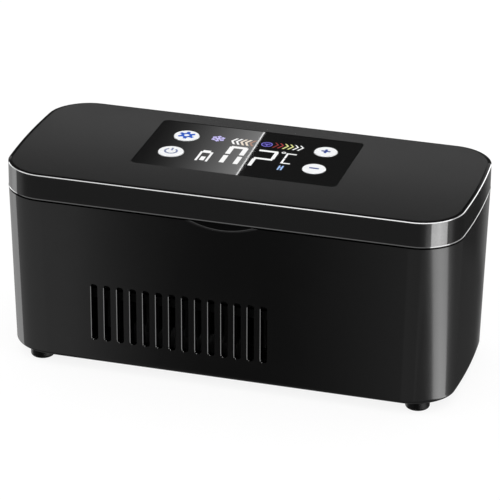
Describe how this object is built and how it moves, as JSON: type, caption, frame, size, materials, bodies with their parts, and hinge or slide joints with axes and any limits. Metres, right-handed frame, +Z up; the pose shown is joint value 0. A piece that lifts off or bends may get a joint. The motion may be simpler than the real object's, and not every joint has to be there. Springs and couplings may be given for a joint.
{
  "type": "insulin cooling case",
  "caption": "Portable insulin cooler: glossy black box with rounded corners, vent slots, a hinged lid with a digital display and push buttons, a cold tray, a fan and rechargeable cells.",
  "frame": {"origin": "on the floor under the middle of the case", "axes": "+X along the case to the right as seen from the front, +Y towards the hinge side, +Z up"},
  "size_m": [0.2014, 0.085, 0.09],
  "materials": {
    "casing_black": "polished black",
    "lid_black": "satin black top with a polished band",
    "inner_black": "fine moulded texture",
    "foot_rubber": "matt",
    "gasket_silicone": "matt grey",
    "panel_black": "mirror gloss smoked acrylic",
    "lcd_glass": "dark polished",
    "button_white": "glossy white with a printed symbol",
    "aluminium": "brushed",
    "sink_black": "black anodised",
    "steel": "bright zinc plated",
    "nickel": "bright nickel plated",
    "bronze": "sintered",
    "ceramic": "matt white ceramic",
    "foam": "black closed cell foam",
    "board_green": "green solder resist",
    "cell_blue": "shrink sleeve",
    "lead_red": "satin",
    "lead_black": "satin",
    "ribbon_white": "white film"
  },
  "bodies": {
    "case": {"outer_casing": "casing_black", "base_cover": "inner_black", "inner_deck": "inner_black", "fan_frame": "inner_black", "battery_cradle": "inner_black", "charging_socket": "inner_black", "foot_front_left": "foot_rubber", "foot_front_right": "foot_rubber", "foot_rear_left": "foot_rubber", "foot_rear_right": "foot_rubber", "cold_tray": "aluminium", "cold_block": "aluminium", "heat_sink": "sink_black", "foot_screw_front_left": "steel", "foot_screw_front_right": "steel", "foot_screw_rear_left": "steel", "foot_screw_rear_right": "steel", "fan_screw_front_left": "steel", "fan_screw_front_right": "steel", "fan_screw_rear_left": "steel", "fan_screw_rear_right": "steel", "clamp_screw_left": "steel", "clamp_screw_right": "steel", "hinge_pin_left": "steel", "hinge_pin_right": "steel", "case_magnet_left": "nickel", "case_magnet_right": "nickel", "fan_bearing": "bronze", "peltier_module": "ceramic", "tray_insulation": "foam", "main_board": "board_green", "battery_cell_front": "cell_blue", "battery_cell_rear": "cell_blue", "peltier_lead_red": "lead_red", "peltier_lead_black": "lead_black", "fan_lead": "lead_black", "display_ribbon": "ribbon_white"},
    "lid": {"lid_shell": "lid_black", "lid_liner": "inner_black", "lid_insulation": "foam", "lid_gasket": "gasket_silicone", "display_window": "panel_black", "lcd_module": "lcd_glass", "display_board": "board_green", "mode_switch": "inner_black", "power_switch": "inner_black", "plus_switch": "inner_black", "minus_switch": "inner_black", "lid_screw_front_left": "steel", "lid_screw_front_right": "steel", "lid_screw_rear_left": "steel", "lid_screw_rear_right": "steel", "lid_magnet_left": "nickel", "lid_magnet_right": "nickel"},
    "mode_button": {"mode_button": "button_white"},
    "power_button": {"power_button": "button_white"},
    "plus_button": {"plus_button": "button_white"},
    "minus_button": {"minus_button": "button_white"},
    "fan_rotor": {"fan_rotor": "inner_black"}
  },
  "joints": [
    {"name": "lid_hinge", "type": "hinge", "parent": "case", "child": "lid", "pos_m": [0, 0.0396, 0.0783], "axis": [-1, 0, 0], "range_deg": [0, 95], "deforming": ["display_ribbon"]},
    {"name": "fan_spin", "type": "hinge", "parent": "case", "child": "fan_rotor", "pos_m": [-0.01937, -0.004, 0.0148], "axis": [0, 0, 1], "continuous": true},
    {"name": "mode_press", "type": "slide", "parent": "lid", "child": "mode_button", "axis": [0, 0, -1], "range_m": [0, 0.0005], "stiffness_N_per_m": 300, "springref_m": -0.002},
    {"name": "power_press", "type": "slide", "parent": "lid", "child": "power_button", "axis": [0, 0, -1], "range_m": [0, 0.0005], "stiffness_N_per_m": 300, "springref_m": -0.002},
    {"name": "plus_press", "type": "slide", "parent": "lid", "child": "plus_button", "axis": [0, 0, -1], "range_m": [0, 0.0005], "stiffness_N_per_m": 300, "springref_m": -0.002},
    {"name": "minus_press", "type": "slide", "parent": "lid", "child": "minus_button", "axis": [0, 0, -1], "range_m": [0, 0.0005], "stiffness_N_per_m": 300, "springref_m": -0.002}
  ]
}
